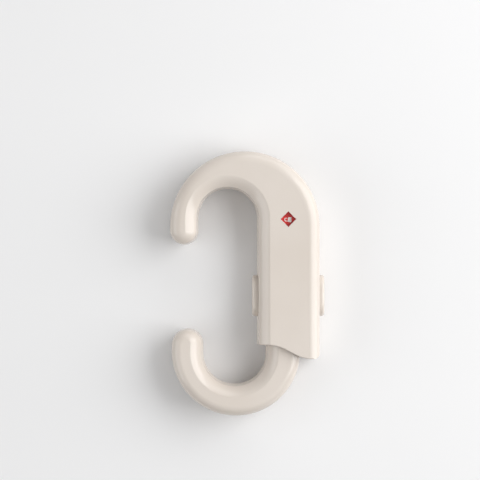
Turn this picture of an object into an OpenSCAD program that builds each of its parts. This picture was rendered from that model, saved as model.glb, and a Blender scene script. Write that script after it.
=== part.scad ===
// Cabinet safety lock: a fixed hook with its housing, a sliding hook on a toothed bar,
// and two squeeze buttons that draw their latches out of the teeth.
// It lies on its back: +Z is the front, +Y the fixed hook's end, +X the outer button's side.
// The slider is pushed fully in and both buttons are held in, so the window shows red.

/* [Housing] */
// Width over the fixed hook and the housing
housing_w = 61.5; // [59:0.5:66]
// Length over both hooks with the slider pushed fully in
closed_len = 108.8; // [106:0.2:114]
// Thickness from back to front
housing_t = 20; // [19.5:0.1:22]
// Width of the housing's barrel beside the fixed hook's eye
barrel_w = 25.8; // [25:0.1:27]
// Wall of the shells
wall = 2.2; // [1.8:0.1:2.4]
// Wall between the eyes and the inside
eye_wall = 3; // [2.6:0.1:3.2]
// Rounding of the outer edges
edge_r = 3.6; // [2.4:0.1:4]

/* [Fixed hook] */
// Radius of the fixed hook's eye, as far as its opening allows
eye_r = 12.1; // [11:0.1:12.6]
// Width of the fixed hook's free leg
leg_w = 11.5; // [11:0.1:12.5]
// Height of the eye's centre above the arch's centre
eye_rise = 3.3; // [2:0.1:4.5]
// Drop of the free leg's end below the arch's centre
leg_drop = 7.7; // [7:0.1:12]
// Radius of the flare round the eyes
flare_r = 6.3; // [5:0.1:6.8]
// Sweep of the flare's arc before it meets the face, in degrees
flare_sweep = 78; // [70:1:84]

/* [Mouth] */
// Height of the mouth's outer edge above the slider's lowest point
mouth_outer_up = 23.5; // [22:0.1:25]
// Height of the mouth's inner edge above its outer edge
mouth_slant = 5.7; // [4:0.1:6.5]
// Width of the flat stretch at the mouth's outer edge
mouth_flat_w = 6.6; // [5:0.1:7]
// Width of the slanted stretch of the mouth's edge
mouth_slant_w = 11; // [8:0.1:12]
// Depth of the pocket that the slider's leg seats in
pocket_depth = 3.6; // [3:0.1:5]
// Rounding of the mouth's edge where its slant begins and ends
mouth_bend_r = 15; // [8:0.5:20]
// Rounding of the housing's outer corner at the mouth
mouth_corner_r = 2.4; // [1:0.1:3]

/* [Slider hook] */
// Outer radius of the slider's arch, as far as its width allows
slider_r = 26.4; // [26:0.1:27]
// Inset of the slider's left side from the fixed hook's
slider_inset = 0.65; // [0.3:0.05:1]
// Width of the slider's root, the leg that runs into the housing
root_w = 14.1; // [13.8:0.1:14.4]
// Distance of the slider's root from the housing's outer side
root_in = 8.05; // [7.8:0.05:8.3]
// Radius of the slider's eye, as far as its opening allows
slider_eye_r = 12.9; // [12.2:0.1:13.2]
// Width of the slider's free leg
slider_leg_w = 12.9; // [12.5:0.1:13.2]
// Drop of the eye's centre below the arch's centre
slider_eye_drop = 0.6; // [0:0.1:1.5]
// Rise of the free leg's end above the arch's centre
slider_leg_rise = 9.4; // [8:0.1:12]
// Thickness of the slider
slider_t = 17.3; // [16.8:0.1:17.5]
// How far the slider draws out, in teeth, as far as the bar reaches
slide_teeth = 12; // [8:1:12]

/* [Rack] */
// Width of the toothed bar over the tips
rack_w = 7; // [6.6:0.1:7.2]
// Height of the toothed bar
rack_h = 7; // [6:0.1:7.2]
// Offset of the bar from the middle of the slider's leg
rack_shift = 0.75; // [0.6:0.05:0.9]
// Distance from tooth to tooth
tooth_pitch = 3; // [2.8:0.1:3]
// Depth of the teeth
tooth_depth = 1.5; // [1.3:0.1:1.7]
// Number of teeth on each edge, as far as the housing has room
rack_teeth = 19; // [18:1:19]
// Distance between the bar's anchor pins
rack_pin_gap = 3.4; // [3:0.1:3.5]
// How far the bar reaches below the middle of the slider's arch
rack_tail = 3.2; // [3:0.1:3.6]
// Radius of the anchor pins and the stop pin
rack_pin_r = 1.1; // [0.8:0.1:1.2]

/* [Buttons] */
// Middle of the buttons along the housing, from the end of the mouth's pocket
button_y = 16.6; // [16:0.1:17.2]
// Length of the buttons
button_len = 17; // [16:0.1:18]
// Height of the outer button
outer_cap_h = 11; // [10:0.1:12]
// Height of the inner button
inner_cap_h = 9; // [8:0.1:9.4]
// How far the pressed buttons stand proud
button_proud = 2; // [1.5:0.1:2.5]
// Travel of the buttons
button_travel = 2.6; // [2.4:0.05:2.7]
// Wall of the button caps
cap_wall = 1.4; // [1.2:0.1:1.6]
// Rounding of the caps' faces
cap_edge_r = 1.1; // [0.6:0.1:1.3]

/* [Latches] */
// Thickness of the latch plates
plate_t = 2.4; // [2:0.1:2.6]
// Width of each latch plate
latch_w = 7.2; // [7:0.1:7.4]
// Thickness of the latch blocks behind their teeth
block_t = 2; // [1.6:0.1:2.2]
// Height of the latch teeth
latch_tooth_h = 1.2; // [1:0.05:1.3]
// Thickness of the stems that carry the caps
stem_t = 3.2; // [2.6:0.1:3.6]
// Width of the stems that carry the caps
stem_w = 4; // [3.6:0.1:4.2]

/* [Springs] */
// Wire diameter of the springs
wire_d = 0.5; // [0.4:0.05:0.55]
// Outer diameter of the springs
spring_d = 2.4; // [2:0.1:2.4]
// Length of the springs with the buttons pressed
spring_len = 6.2; // [5.8:0.1:6.6]
// Turns in each spring
spring_turns = 5; // [4:1:5]

/* [Indicator] */
// Distance of the window's middle from the housing's outer side
window_in = 12.95; // [12.6:0.05:13.2]
// Height of the window's middle above the arch's centre
window_rise = 2.85; // [2.5:0.05:3.2]
// Diagonal of the diamond window
window_d = 6.5; // [6:0.1:6.6]
// Arm of the flag lever from its pivot to the drive post
drive_arm = 7.1; // [7:0.05:7.3]
// Thickness of the flag lever
lever_t = 0.9; // [0.8:0.05:1]
// Thickness of the coloured panels
panel_t = 0.5; // [0.4:0.05:0.6]
// Radius of the flag's pivot
pivot_r = 1.1; // [0.9:0.05:1.3]

/* [Screws] */
// Radius of the screws' shanks
screw_r = 1; // [0.8:0.05:1.1]
// Radius of the screws' heads
screw_head_r = 1.9; // [1.7:0.05:2]
// Height of the screws' heads
screw_head_h = 1.3; // [1:0.1:1.5]
// Depth of the screws' recesses
recess_depth = 2.6; // [2:0.1:3]
// Radius of the screw bosses
boss_r = 2.6; // [2.5:0.05:2.7]

/* [Hidden] */
$fn = 96;
over = 1;
hair = 0.001;

// Clearances
slide_gap = 0.4;
guide_gap = 0.3;
fit_gap = 0.15;
run_gap = 0.05;

// Colours
cream = [0.87, 0.835, 0.80];
inner_plastic = [0.80, 0.80, 0.79];
steel = [0.70, 0.71, 0.73];

// Fixed hook and housing
arch_r = housing_w / 2;
arch_y = closed_len / 2 - arch_r;
inner_side_x = arch_r - barrel_w;
eye_open_w = housing_w - leg_w - barrel_w;
eye_corner_r = min(eye_r, eye_open_w / 2);
eye_x = inner_side_x - eye_open_w / 2;
eye_y = arch_y + eye_rise;
flare_w = flare_r * (1 - cos(flare_sweep));
flare_depth = flare_r * sin(flare_sweep);
room_x1 = arch_r - wall;
leg_mid_x = -arch_r + leg_w / 2;
leg_round_y = arch_y - leg_drop + leg_w / 2;
mid_z = housing_t / 2;
front_z = housing_t - wall;

// Slider hook
slider_w = housing_w - slider_inset - root_in;
slider_corner_r = min(slider_r, slider_w / 2);
slider_out_x = arch_r - root_in;
slider_in_x = slider_out_x - root_w;
slider_x = slider_out_x - slider_w / 2;
slider_y = -closed_len / 2 + slider_corner_r;
slider_open_w = slider_w - slider_leg_w - root_w;
slider_eye_corner_r = min(slider_eye_r, slider_open_w / 2);
slider_eye_x = slider_in_x - slider_open_w / 2;
slider_eye_y = slider_y - slider_eye_drop;
slider_mid_z = slider_t / 2;
slider_leg_mid_x = slider_out_x - slider_w + slider_leg_w / 2;
slider_round_y = slider_y + slider_leg_rise - slider_leg_w / 2;

// Mouth and the pocket behind its hood
mouth_outer_y = -closed_len / 2 + mouth_outer_up;
mouth_inner_y = mouth_outer_y + mouth_slant;
mouth_out_x = arch_r - mouth_flat_w;
mouth_in_x = mouth_out_x - mouth_slant_w;
mouth_angle = atan(mouth_slant / mouth_slant_w);
bend_run = mouth_bend_r * tan(mouth_angle / 2);
bend_steps = 8;
pocket_y = mouth_inner_y + pocket_depth;
shoulder_y = pocket_y - slide_gap;
room_y0 = pocket_y + wall;
buttons_y = pocket_y + button_y;

// Levels of the inner pieces
plate_z = wall + slide_gap;
rack_z = plate_z + plate_t + 2 * guide_gap;
rack_top_z = rack_z + rack_h;
flag_top_z = front_z - slide_gap;
panel_z = flag_top_z - panel_t;
lever_z = panel_z - lever_t;
pivot_head_h = panel_t + lever_t;
pivot_head_z = lever_z - run_gap - pivot_head_h;

// Rack
rack_x = slider_out_x - root_w / 2 + rack_shift;
rack_half = rack_w / 2;
rack_root_half = rack_half - tooth_depth;
tooth_land = tooth_pitch / 6;
tooth_slope = tooth_depth / (tooth_pitch - tooth_land);
rack_low_y = slider_y - rack_tail;
teeth_low_y = buttons_y - button_len / 2 - tooth_pitch / 2;
rack_room_r = arch_r - wall - guide_gap;
rack_room_y = arch_y + sqrt(pow(rack_room_r, 2) - pow(rack_x + rack_half, 2));
teeth_count = min(rack_teeth, floor((rack_room_y - teeth_low_y) / tooth_pitch));
teeth_high_y = teeth_low_y + teeth_count * tooth_pitch;
rack_high_y = teeth_high_y + tooth_pitch;

// Latches: the outer one lies in the upper half of the buttons, the inner one in the lower half
rib_t = 1;
latch_mid_off = rib_t / 2 + slide_gap + latch_w / 2;
outer_mid_y = buttons_y + latch_mid_off;
inner_mid_y = buttons_y - latch_mid_off;
tooth_entry = fit_gap * tooth_slope + fit_gap + run_gap * 2;
latch_tip = rack_root_half + tooth_entry + button_travel;
latch_back = latch_tip + latch_tooth_h + block_t;
riser_gap = slide_gap;
outer_riser_t = 3;
inner_riser_t = 1.6;
outer_riser_x = rack_x + rack_half + riser_gap + tooth_depth / 2;
inner_riser_x = rack_x - rack_half - riser_gap - inner_riser_t;
outer_face_x = arch_r + button_proud;
inner_face_x = inner_side_x - button_proud;
outer_skirt = button_proud + wall + slide_gap + tooth_depth;
inner_skirt = button_proud + eye_wall;
stem_z = mid_z - stem_t / 2;
plate_top_z = plate_z + plate_t;
block_h = rack_top_z - plate_top_z;

// Spring windows in the plates, and the posts of the rear cover that stand in them
post_t = 2;
post_w = 2.6;
post_h = plate_t + slide_gap - guide_gap;
window_w = spring_d + 2 * guide_gap;
stop_gap = button_travel + fit_gap;
outer_post_x = rack_x - rack_half / 2 - post_t / 2;
inner_post_x = rack_x + rack_half / 2 + post_t / 2;
spring_z = wall + guide_gap + spring_d / 2;

// Stop pin on the bar and the rib of the front cover that it meets
stop_rib_t = 2;
stop_rib_w = 4;
stop_rib_y = buttons_y + button_len / 2 - stop_rib_t / 2;
stop_start_y = stop_rib_y + stop_rib_t + rack_pin_r + guide_gap;
travel_room = rack_high_y - 2 * rack_pin_r - stop_start_y;
slide_travel = tooth_pitch * min(slide_teeth, floor(travel_room / tooth_pitch));
stop_pin_y = stop_start_y + slide_travel;
stop_pin_rise = tooth_depth;

// Saddles of the rear cover that the bar runs on, along its way from the latches to its end
saddle_low_y = stop_rib_y + stop_rib_t + post_t;
saddle_shares = [0, 1 / 2];

// Indicator flag
window_x = arch_r - window_in;
window_y = arch_y + window_rise;
panel_d = window_d + 2 * fit_gap;
flag_swing = 2 * asin(button_travel / 2 / drive_arm);
flag_reach = (panel_d + fit_gap) * drive_arm / button_travel;
drive_r = 0.8;
drive_x = outer_riser_x + outer_riser_t / 2;
pivot_x = drive_x + button_travel / 2;
pivot_y = window_y - sqrt(pow(flag_reach, 2) - pow(window_x - pivot_x, 2));
drive_y = pivot_y - drive_arm * cos(flag_swing / 2);
drive_bar_z = rack_top_z + guide_gap;
drive_bar_top_z = pivot_head_z - guide_gap;
arm_w = 2.6;
hub_r = pivot_r + pivot_head_h;
fork_w = 2 * (drive_r + run_gap * 2);
fork_end = drive_r + lever_t;

// Screws
screw_gap = 0.2;
screw_tip_gap = 1.2;
cover_screw_places = [
    [0, (arch_y + arch_r + eye_y + eye_corner_r) / 2],
    [leg_mid_x, eye_y],
    [rack_x + rack_half + boss_r + slide_gap * 2, window_y + window_d / 2 + boss_r + slide_gap * 4],
    [(slider_out_x + slide_gap + arch_r) / 2, mouth_outer_y + boss_r * 2],
    [rack_x - rack_half - boss_r - guide_gap, inner_mid_y - latch_w / 2 - boss_r - rib_t - slide_gap]
];
slider_ring_r = (slider_eye_corner_r + slider_corner_r) / 2;
slider_screw_turn_shares = [-1 / 3, -2 / 3];
slider_screw_places = concat(
    [[slider_leg_mid_x, slider_y]],
    [for (s = slider_screw_turn_shares)
        [slider_x + slider_ring_r * cos(s * 180), slider_y + slider_ring_r * sin(s * 180)]]
);
rack_pin_places = [
    for (i = [0, 1]) [rack_x, rack_low_y + 2 * rack_pin_r + i * rack_pin_gap]
];

// The part's frame has its origin under the middle of its box
module place() {
    translate([-button_proud / 2, 0, 0]) children();
}

// Half section of a plate whose rim is rounded front and back
module rim_profile(r, t) {
    square([r - edge_r, t]);
    translate([0, edge_r]) square([r, t - 2 * edge_r]);
    intersection() {
        square([r, t]);
        for (z = [edge_r, t - edge_r])
            translate([r - edge_r, z]) circle(edge_r);
    }
}

// Corner of an eye's section at the face, where the wall flares out
module flare_corner(r) {
    difference() {
        translate([0, -flare_depth]) square([r + flare_w, flare_depth + over]);
        translate([r + flare_r, -flare_depth]) circle(flare_r);
    }
}

// Half section of an eye, straight in the middle and flared at both faces
module eye_profile(r, t) {
    translate([0, -over]) square([r, t + 2 * over]);
    translate([0, t]) flare_corner(r);
    mirror([0, 1]) flare_corner(r);
}

// Half of the straight stretch between two corners of radius r in a width w
function half_flat(w, r) = w / 2 - r > hair ? w / 2 - r : 0;

// Opening of a hook: a rounded eye whose two walls run on towards -Y
module hook_opening(w, r, t, run) {
    flat = half_flat(w, r);
    for (s = [0, 1])
        mirror([s, 0, 0]) {
            translate([flat, 0, 0]) rotate_extrude(angle = 90) eye_profile(r, t);
            rotate([90, 0, 0]) linear_extrude(run) eye_profile(w / 2, t);
            if (flat > 0) rotate([90, 0, 90]) linear_extrude(flat) eye_profile(r, t);
        }
}

// What is cut off below a leg's middle so that the leg ends half round
module leg_end_cut(w, t) {
    difference() {
        translate([-w, -w - over, -over]) cube([2 * w, w + over, t + 2 * over]);
        rotate([0, 0, 180]) rotate_extrude(angle = 180) rim_profile(w / 2, t);
    }
}

// Blank of a hook: a rounded arch with a straight side under each end
module hook_blank(w, r, t, left_run, right_run) {
    flat = half_flat(w, r);
    for (s = [0, 1])
        mirror([s, 0, 0]) {
            translate([flat, 0, 0]) rotate_extrude(angle = 90) rim_profile(r, t);
            rotate([90, 0, 0]) linear_extrude([right_run, left_run][s]) rim_profile(w / 2, t);
            if (flat > 0) rotate([90, 0, 90]) linear_extrude(flat) rim_profile(r, t);
        }
}

// Outline of a hook or its opening, seen from the front
module hook_outline(w, r, left_run, right_run) {
    flat = half_flat(w, r);
    for (s = [0, 1])
        mirror([s, 0]) {
            translate([flat, 0]) intersection() {
                circle(r);
                square(r);
            }
            if (flat > 0) square([flat, r]);
            translate([0, -[right_run, left_run][s]]) square([w / 2, [right_run, left_run][s]]);
        }
}

// Opening of a hook with its wall, seen from the front
module walled_opening(w, r, run, gap) {
    hook_outline(w + 2 * gap, r + gap, run, run);
}

// Rounded slot shape of a button, seen along its travel
module button_outline(len, h) {
    square([len - h, h], center = true);
    for (s = [-1, 1])
        translate([s * (len - h) / 2, 0]) circle(h / 2);
}

// Opening in a side wall for a button, running along +X
module button_window(x, len, h, depth) {
    translate([x, buttons_y, mid_z]) rotate([90, 0, 90])
        linear_extrude(depth) button_outline(len + 2 * fit_gap, h + 2 * fit_gap);
}

// Diamond seen from the front
module diamond(d) {
    rotate([0, 0, 45]) square(d / sqrt(2), center = true);
}

// Arc of the mouth's edge about a centre, from one angle to another
function mouth_bend(x, y, from, to) = [
    for (i = [0 : bend_steps])
        let (a = from + (to - from) * i / bend_steps)
            [x + mouth_bend_r * cos(a), y + mouth_bend_r * sin(a)]
];

// What is cut off below the mouth's edge, an S that runs down to the outer side
module mouth_cut() {
    polygon(concat(
        [[eye_x, mouth_inner_y]],
        mouth_bend(mouth_in_x - bend_run, mouth_inner_y - mouth_bend_r, 90, 90 - mouth_angle),
        mouth_bend(mouth_out_x + bend_run, mouth_outer_y + mouth_bend_r, -90 - mouth_angle, -90),
        [[mouth_out_x + bend_run, mouth_outer_y - over], [eye_x, mouth_outer_y - over]]
    ));
    translate([arch_r - mouth_corner_r, mouth_outer_y]) difference() {
        square([mouth_corner_r + over, mouth_corner_r]);
        translate([0, mouth_corner_r]) circle(mouth_corner_r);
    }
}

// Outer shape of the fixed hook and housing, both halves together
module housing_shape() {
    difference() {
        translate([0, arch_y, 0])
            hook_blank(housing_w, arch_r, housing_t, leg_drop, arch_y - mouth_outer_y);
        translate([eye_x, eye_y, 0])
            hook_opening(eye_open_w, eye_corner_r, housing_t, eye_y - mouth_outer_y + over);
        translate([leg_mid_x, leg_round_y, 0]) leg_end_cut(leg_w, housing_t);
        translate([0, 0, -over]) linear_extrude(housing_t + 2 * over) mouth_cut();
        // pocket for the slider's leg, behind the hood
        translate([slider_in_x - slide_gap, mouth_outer_y - over, -over])
            cube([
                slider_out_x - slider_in_x + 2 * slide_gap,
                pocket_y - mouth_outer_y + over,
                slider_t + slide_gap + over
            ]);
    }
}

// Everything hollow in the housing: its room, the bar's slot and the button openings
module housing_hollow() {
    translate([0, arch_y, wall]) linear_extrude(housing_t - 2 * wall) difference() {
        hook_outline(housing_w - 2 * wall, arch_r - wall, arch_y - leg_round_y, arch_y - room_y0);
        translate([eye_x, eye_rise])
            walled_opening(eye_open_w, eye_corner_r, closed_len, eye_wall);
    }
    translate([rack_x - rack_half - guide_gap, pocket_y - over, rack_z - guide_gap])
        cube([rack_w + 2 * guide_gap, room_y0 - pocket_y + 2 * over, rack_h + 2 * guide_gap]);
    button_window(room_x1 - over, button_len, outer_cap_h, wall + 2 * over);
    button_window(inner_side_x - over, button_len, inner_cap_h, eye_wall + 2 * over);
}

module screw_bosses(places, z0, z1) {
    for (p = places)
        translate([p[0], p[1], z0]) cylinder(r = boss_r, h = z1 - z0);
}

// Recess, clearance hole and pilot hole of each screw, from the back
module screw_holes(places, t) {
    for (p = places)
        translate([p[0], p[1], 0]) {
            translate([0, 0, -over]) cylinder(r = screw_head_r + screw_gap, h = recess_depth + over);
            cylinder(r = screw_r + screw_gap, h = t / 2);
            cylinder(r = screw_r, h = t - wall);
        }
}

// Pan-head screws, standing in their recesses
module screws(places, t) {
    for (p = places)
        translate([p[0], p[1], recess_depth]) {
            translate([0, 0, -screw_head_h]) cylinder(r = screw_head_r, h = screw_head_h);
            cylinder(r = screw_r, h = t - wall - screw_tip_gap - recess_depth);
        }
}

// Half of a shape above or below a parting plane
module front_half(z, t) {
    intersection() {
        children();
        translate([-housing_w, -closed_len, z]) cube([2 * housing_w, 2 * closed_len, t]);
    }
}

module rear_half(z, t) {
    intersection() {
        children();
        translate([-housing_w, -closed_len, z - t]) cube([2 * housing_w, 2 * closed_len, t]);
    }
}

module front_cover() {
    color(cream) place() difference() {
        union() {
            front_half(mid_z, housing_t) difference() {
                housing_shape();
                housing_hollow();
            }
            screw_bosses(cover_screw_places, mid_z, front_z);
            translate([rack_x - stop_rib_w / 2, stop_rib_y, rack_top_z + guide_gap])
                cube([stop_rib_w, stop_rib_t, front_z - rack_top_z - guide_gap]);
        }
        screw_holes(cover_screw_places, housing_t);
        translate([window_x, window_y, front_z - over]) linear_extrude(wall + 2 * over) diamond(window_d);
        translate([pivot_x, pivot_y, front_z - over]) cylinder(r = pivot_r, h = over + wall / 2);
    }
}

module rear_cover() {
    color(cream) place() difference() {
        union() {
            rear_half(mid_z, housing_t) difference() {
                housing_shape();
                housing_hollow();
            }
            screw_bosses(cover_screw_places, wall, mid_z);
            // posts that the springs push against
            translate([outer_post_x - post_t / 2, outer_mid_y - post_w / 2, wall])
                cube([post_t, post_w, post_h]);
            translate([inner_post_x - post_t / 2, inner_mid_y - post_w / 2, wall])
                cube([post_t, post_w, post_h]);
            // ribs that guide the latch plates
            for (s = [-1, 0, 1])
                translate([
                    rack_x - rack_w,
                    buttons_y + s * (2 * latch_mid_off) - rib_t / 2,
                    wall
                ])
                    cube([2 * rack_w, rib_t, plate_t + slide_gap]);
            // saddles under the toothed bar
            for (s = saddle_shares)
                translate([
                    rack_x - rack_half,
                    saddle_low_y + s * (teeth_high_y - saddle_low_y),
                    wall
                ])
                    cube([rack_w, post_t, rack_z - guide_gap - wall]);
        }
        screw_holes(cover_screw_places, housing_t);
    }
}

module cover_screws() {
    color(steel) place() screws(cover_screw_places, housing_t);
}

module indicator_lens() {
    color([0.9, 0.95, 1, 0.4]) place()
        translate([window_x, window_y, front_z])
            linear_extrude(wall - run_gap) diamond(window_d - 2 * run_gap);
}

// Headed pin that the flag turns on, seated in the front wall
module flag_pivot() {
    color(steel) place() translate([pivot_x, pivot_y, 0]) {
        translate([0, 0, pivot_head_z]) cylinder(r = hub_r, h = pivot_head_h);
        translate([0, 0, pivot_head_z]) cylinder(r = pivot_r, h = front_z + wall / 2 - pivot_head_z);
    }
}

module slider_shape() {
    translate([slider_x, slider_y, 0]) rotate([0, 0, 180])
        hook_blank(slider_w, slider_corner_r, slider_t, shoulder_y - slider_y, slider_leg_rise);
}

module slider_solid() {
    difference() {
        slider_shape();
        translate([slider_eye_x, slider_eye_y, 0]) rotate([0, 0, 180])
            hook_opening(slider_open_w, slider_eye_corner_r, slider_t, slider_r);
        translate([slider_leg_mid_x, slider_round_y, 0]) rotate([0, 0, 180])
            leg_end_cut(slider_leg_w, slider_t);
        translate([slider_x, slider_y, wall]) rotate([0, 0, 180])
            linear_extrude(slider_t - 2 * wall) difference() {
                hook_outline(slider_w - 2 * wall, slider_corner_r - wall,
                    shoulder_y - slider_y - wall, slider_round_y - slider_y);
                translate([slider_x - slider_eye_x, slider_eye_drop])
                    walled_opening(slider_open_w, slider_eye_corner_r, closed_len, wall);
            }
        translate([rack_x - rack_half - run_gap, shoulder_y - wall - over, rack_z - run_gap])
            cube([rack_w + 2 * run_gap, wall + 2 * over, rack_h + 2 * run_gap]);
    }
}

module slider_front() {
    color(cream) place() difference() {
        union() {
            front_half(slider_mid_z, slider_t) slider_solid();
            screw_bosses(slider_screw_places, slider_mid_z, slider_t - wall);
        }
        screw_holes(slider_screw_places, slider_t);
    }
}

module slider_rear() {
    color(cream) place() difference() {
        union() {
            rear_half(slider_mid_z, slider_t) slider_solid();
            screw_bosses(slider_screw_places, wall, slider_mid_z);
        }
        screw_holes(slider_screw_places, slider_t);
    }
}

module slider_screws() {
    color(steel) place() screws(slider_screw_places, slider_t);
}

// One edge of the bar from low to high: each tooth has a square flank below and a ramp above
function rack_edge(side) = [
    for (i = [0 : teeth_count - 1])
        let (y = teeth_low_y + i * tooth_pitch)
            each [
                [side * rack_root_half, y],
                [side * rack_half, y],
                [side * rack_half, y + tooth_land]
            ]
];

function reversed(list) = [for (i = [len(list) - 1 : -1 : 0]) list[i]];

module rack_bar() {
    color(inner_plastic) place() difference() {
        translate([rack_x, 0, rack_z]) linear_extrude(rack_h) polygon(concat(
            [[-rack_half, rack_low_y], [rack_half, rack_low_y], [rack_half, teeth_low_y - tooth_land]],
            rack_edge(1),
            [[rack_root_half, teeth_high_y], [rack_root_half, rack_high_y]],
            [[-rack_root_half, rack_high_y], [-rack_root_half, teeth_high_y]],
            reversed(rack_edge(-1)),
            [[-rack_half, teeth_low_y - tooth_land]]
        ));
        for (p = rack_pin_places)
            translate([p[0], p[1], rack_z - over]) cylinder(r = rack_pin_r, h = rack_h + 2 * over);
        translate([rack_x, stop_pin_y, rack_z - over]) cylinder(r = rack_pin_r, h = rack_h + 2 * over);
    }
}

module rack_pins() {
    color(steel) place() for (p = rack_pin_places)
        translate([p[0], p[1], wall]) cylinder(r = rack_pin_r, h = slider_t - 2 * wall);
}

module rack_stop_pin() {
    color(steel) place() translate([rack_x, stop_pin_y, rack_z])
        cylinder(r = rack_pin_r, h = rack_h + stop_pin_rise);
}

// Cup-shaped cap with its face at z = 0 and its open end at -skirt
module button_cap(len, h, skirt) {
    difference() {
        union() {
            for (s = [0, 1])
                mirror([s, 0, 0]) translate([(len - h) / 2, 0, -skirt])
                    rotate([0, 0, -90]) rotate_extrude(angle = 180) cap_profile(h / 2, skirt);
            rotate([90, 0, 90]) translate([0, -skirt, -(len - h) / 2]) linear_extrude(len - h) {
                cap_profile(h / 2, skirt);
                mirror([1, 0]) cap_profile(h / 2, skirt);
            }
        }
        translate([0, 0, -skirt - over]) linear_extrude(skirt - cap_wall + over)
            button_outline(len - 2 * cap_wall, h - 2 * cap_wall);
    }
}

// Half section of a cap, rounded at the face
module cap_profile(r, skirt) {
    square([r, skirt - cap_edge_r]);
    square([r - cap_edge_r, skirt]);
    translate([r - cap_edge_r, skirt - cap_edge_r]) circle(cap_edge_r);
}

module outer_button_cap() {
    color(cream) place() translate([outer_face_x, buttons_y, mid_z]) rotate([90, 0, 90])
        button_cap(button_len, outer_cap_h, outer_skirt);
}

module inner_button_cap() {
    color(cream) place() translate([inner_face_x, buttons_y, mid_z]) rotate([90, 0, -90])
        button_cap(button_len, inner_cap_h, inner_skirt);
}

// Teeth of a latch that meets the bar's +X edge, seen from the front, with the block behind them
module latch_block(mid_y) {
    first = ceil((mid_y - latch_w / 2 - teeth_low_y + latch_tooth_h / tooth_slope + fit_gap) / tooth_pitch);
    last = floor((mid_y + latch_w / 2 - teeth_low_y + fit_gap) / tooth_pitch);
    translate([latch_tip + latch_tooth_h, mid_y - latch_w / 2]) square([block_t, latch_w]);
    for (i = [first : last])
        translate([latch_tip, teeth_low_y + i * tooth_pitch - fit_gap])
            polygon([
                [0, 0], [latch_tooth_h, -latch_tooth_h / tooth_slope],
                [latch_tooth_h + run_gap, -latch_tooth_h / tooth_slope],
                [latch_tooth_h + run_gap, 0]
            ]);
}

// Plate under the bar with its spring window, from x0 to x1
module latch_plate(x0, x1, mid_y, win_x0, win_x1) {
    translate([0, 0, plate_z]) linear_extrude(plate_t) difference() {
        translate([x0, mid_y - latch_w / 2]) square([x1 - x0, latch_w]);
        translate([win_x0, mid_y - window_w / 2]) square([win_x1 - win_x0, window_w]);
    }
}

// Slide that the outer button pushes: its teeth meet the far, inner edge of the bar
module outer_latch() {
    color(inner_plastic) place() {
        latch_plate(rack_x - latch_back, outer_riser_x + outer_riser_t, outer_mid_y,
            outer_post_x - post_t / 2 - stop_gap, outer_post_x + post_t / 2 + spring_len);
        translate([rack_x, 0, plate_top_z]) linear_extrude(block_h)
            mirror([1, 0]) latch_block(outer_mid_y);
        translate([outer_riser_x, outer_mid_y - latch_w / 2, plate_top_z])
            cube([outer_riser_t, latch_w, block_h]);
        translate([outer_riser_x, outer_mid_y - stem_w / 2, stem_z])
            cube([outer_face_x - cap_wall - outer_riser_x, stem_w, stem_t]);
        // lug and bar that carry the flag's drive post
        translate([outer_riser_x, outer_mid_y - drive_r, rack_top_z])
            cube([outer_riser_t, 2 * drive_r, drive_bar_top_z - rack_top_z]);
        translate([drive_x - drive_r, min(outer_mid_y, drive_y), drive_bar_z])
            cube([2 * drive_r, abs(drive_y - outer_mid_y), drive_bar_top_z - drive_bar_z]);
        translate([drive_x, drive_y, drive_bar_z]) cylinder(r = drive_r, h = flag_top_z - drive_bar_z);
    }
}

// Slide that the inner button pushes: its teeth meet the far, outer edge of the bar
module inner_latch() {
    color(inner_plastic) place() {
        latch_plate(inner_riser_x, rack_x + latch_back, inner_mid_y,
            inner_post_x - post_t / 2 - spring_len, inner_post_x + post_t / 2 + stop_gap);
        translate([rack_x, 0, plate_top_z]) linear_extrude(block_h)
            latch_block(inner_mid_y);
        translate([inner_riser_x, inner_mid_y - latch_w / 2, plate_top_z])
            cube([inner_riser_t, latch_w, block_h]);
        translate([inner_face_x + cap_wall, inner_mid_y - stem_w / 2, stem_z])
            cube([inner_riser_x + inner_riser_t - inner_face_x - cap_wall, stem_w, stem_t]);
    }
}

// Compression spring along +X from x = 0, as one unbroken tube
coil_r = (spring_d - wire_d) / 2;
wire_r = wire_d / 2;
rings_per_turn = 8;
wire_sides = 6;
ring_count = spring_turns * rings_per_turn + 1;
coil_rise = spring_len - wire_d - 2 * run_gap;
function coil_point(i) =
    let (a = i * 360 / rings_per_turn, s = i / (ring_count - 1))
        [wire_r + run_gap + s * coil_rise, coil_r * cos(a), coil_r * sin(a)];
function wire_ring(i) =
    let (a = i * 360 / rings_per_turn)
        [for (k = [0 : wire_sides - 1])
            let (b = k * 360 / wire_sides)
                coil_point(i) + wire_r * [cos(b), sin(b) * cos(a), sin(b) * sin(a)]];
wire_points = [for (i = [0 : ring_count - 1]) each wire_ring(i)];
wire_faces = concat(
    [for (i = [0 : ring_count - 2], k = [0 : wire_sides - 1])
        let (a = i * wire_sides + k, b = i * wire_sides + (k + 1) % wire_sides)
            each [[a, a + wire_sides, b], [b, a + wire_sides, b + wire_sides]]],
    [for (k = [1 : wire_sides - 2]) [0, k, k + 1]],
    [for (k = [1 : wire_sides - 2])
        let (e = (ring_count - 1) * wire_sides) [e, e + k + 1, e + k]]
);
coil_gap = min([
    for (i = [0 : ring_count - 1], j = [i + 6 : ring_count - 1])
        norm(coil_point(i) - coil_point(j)) - wire_d
]);
echo(least_gap_between_spring_turns = coil_gap);

module spring() {
    polyhedron(points = wire_points, faces = wire_faces, convexity = spring_turns);
}

module outer_spring() {
    color(steel) place() translate([outer_post_x + post_t / 2, outer_mid_y, spring_z]) spring();
}

module inner_spring() {
    color(steel) place() translate([inner_post_x - post_t / 2, inner_mid_y, spring_z])
        rotate([0, 0, 180]) spring();
}

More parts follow.
